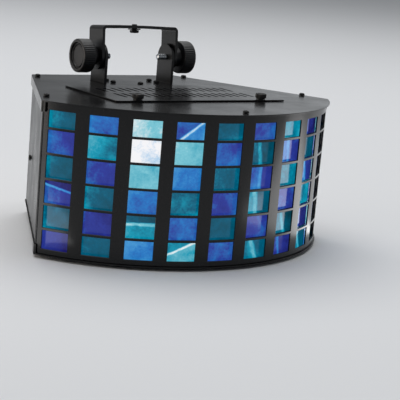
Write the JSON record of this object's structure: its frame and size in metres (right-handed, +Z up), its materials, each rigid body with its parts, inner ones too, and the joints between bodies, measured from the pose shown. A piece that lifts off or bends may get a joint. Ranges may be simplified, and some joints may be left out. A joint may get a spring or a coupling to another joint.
{
  "type": "dj effect light",
  "caption": "Half-moon DJ effect light with a curved front of coloured glass windows, a lens drum round a lamp, a vented lamp hatch and a tilting yoke.",
  "frame": {"origin": "middle of the object's box, on the floor under its feet", "axes": "+Z up, the curved glass front facing -Y, +X to the right seen from the front"},
  "size_m": [0.333, 0.2797, 0.2058],
  "materials": {
    "enamel": "gloss black baked enamel on sheet steel",
    "black_steel": "semi-gloss black powder coat or black oxide",
    "zinc_steel": "bright zinc plate",
    "black_plastic": "moulded satin black plastic",
    "rubber": "matt black rubber",
    "aqua_glass": "polished dichroic filter glass, aqua",
    "blue_glass": "polished dichroic filter glass, blue-violet",
    "clear_glass": "clear pressed glass",
    "ceramic": "unglazed steatite",
    "board_green": "green fibreglass circuit board"
  },
  "bodies": {
    "housing": {"arm_screw_left_front": "black_steel", "arm_screw_left_rear": "black_steel", "arm_screw_right_front": "black_steel", "arm_screw_right_rear": "black_steel", "base_pan": "enamel", "bracket_arm_left": "black_steel", "bracket_arm_right": "black_steel", "control_board": "board_green", "cover_screw_front": "black_steel", "cover_screw_rear_left": "black_steel", "cover_screw_rear_right": "black_steel", "cover_screw_side_left": "black_steel", "cover_screw_side_right": "black_steel", "drive_motor": "zinc_steel", "fan_frame": "black_plastic", "foot_front_left": "rubber", "foot_front_right": "rubber", "foot_rear_left": "rubber", "foot_rear_right": "rubber", "fuse_holder": "black_plastic", "glass_strip_1": "aqua_glass", "glass_strip_10": "blue_glass", "glass_strip_2": "blue_glass", "glass_strip_3": "aqua_glass", "glass_strip_4": "blue_glass", "glass_strip_5": "aqua_glass", "glass_strip_6": "blue_glass", "glass_strip_7": "aqua_glass", "glass_strip_8": "blue_glass", "glass_strip_9": "aqua_glass", "halogen_lamp": "clear_glass", "knob_washer_left": "black_steel", "knob_washer_right": "black_steel", "lamp_bracket": "zinc_steel", "lamp_bracket_screw": "black_steel", "lamp_holder": "ceramic", "left_side": "enamel", "lens_panel": "enamel", "pivot_stud_left": "zinc_steel", "pivot_stud_right": "zinc_steel", "power_inlet": "black_plastic", "rear_panel": "enamel", "right_side": "enamel", "side_screw_left": "black_steel", "side_screw_right": "black_steel", "top_cover": "enamel", "transformer": "zinc_steel"},
    "yoke": {"yoke": "black_steel", "hanging_bolt": "zinc_steel", "hanging_washer": "zinc_steel"},
    "knob_left": {"knob_left": "black_plastic"},
    "knob_right": {"knob_right": "black_plastic"},
    "hatch": {"lamp_hatch": "enamel"},
    "thumb_screw_left": {"thumb_screw_left": "black_plastic"},
    "thumb_screw_right": {"thumb_screw_right": "black_plastic"},
    "lens_drum": {"drum_base": "zinc_steel", "lens_ring": "clear_glass"},
    "fan_rotor": {"fan_rotor": "black_plastic"},
    "fuse_cap": {"fuse_cap": "black_plastic"},
    "sensitivity_dial": {"sensitivity_dial": "black_plastic"}
  },
  "joints": [
    {"name": "yoke_tilt", "type": "hinge", "parent": "housing", "child": "yoke", "pos_m": [0, 0.0733, 0.1726], "axis": [1, 0, 0], "range_deg": [-95, 105]},
    {"name": "knob_left_turn", "type": "hinge", "parent": "housing", "child": "knob_left", "pos_m": [-0.05, 0.0733, 0.1726], "axis": [-1, 0, 0], "range_deg": [0, 360]},
    {"name": "knob_right_turn", "type": "hinge", "parent": "housing", "child": "knob_right", "pos_m": [0.05, 0.0733, 0.1726], "axis": [1, 0, 0], "range_deg": [0, 360]},
    {"name": "hatch_lift", "type": "hinge", "parent": "housing", "child": "hatch", "pos_m": [0, 0.0401, 0.1454], "axis": [-1, 0, 0], "range_deg": [0, 70]},
    {"name": "thumb_screw_left_turn", "type": "hinge", "parent": "hatch", "child": "thumb_screw_left", "pos_m": [-0.0715, -0.0549, 0.1478], "axis": [0, 0, 1], "range_deg": [0, 360]},
    {"name": "thumb_screw_right_turn", "type": "hinge", "parent": "hatch", "child": "thumb_screw_right", "pos_m": [0.0715, -0.0549, 0.1478], "axis": [0, 0, 1], "range_deg": [0, 360]},
    {"name": "drum_spin", "type": "hinge", "parent": "housing", "child": "lens_drum", "pos_m": [0, -0.0169, 0.038], "axis": [0, 0, 1], "continuous": true},
    {"name": "fan_spin", "type": "hinge", "parent": "housing", "child": "fan_rotor", "pos_m": [-0.044, 0.1181, 0.092], "axis": [0, 1, 0], "continuous": true},
    {"name": "fuse_cap_turn", "type": "hinge", "parent": "housing", "child": "fuse_cap", "pos_m": [0.01, 0.1301, 0.034], "axis": [0, 1, 0], "range_deg": [0, 90]},
    {"name": "sensitivity_turn", "type": "hinge", "parent": "housing", "child": "sensitivity_dial", "pos_m": [-0.02, 0.1301, 0.034], "axis": [0, -1, 0], "range_deg": [0, 270]}
  ]
}
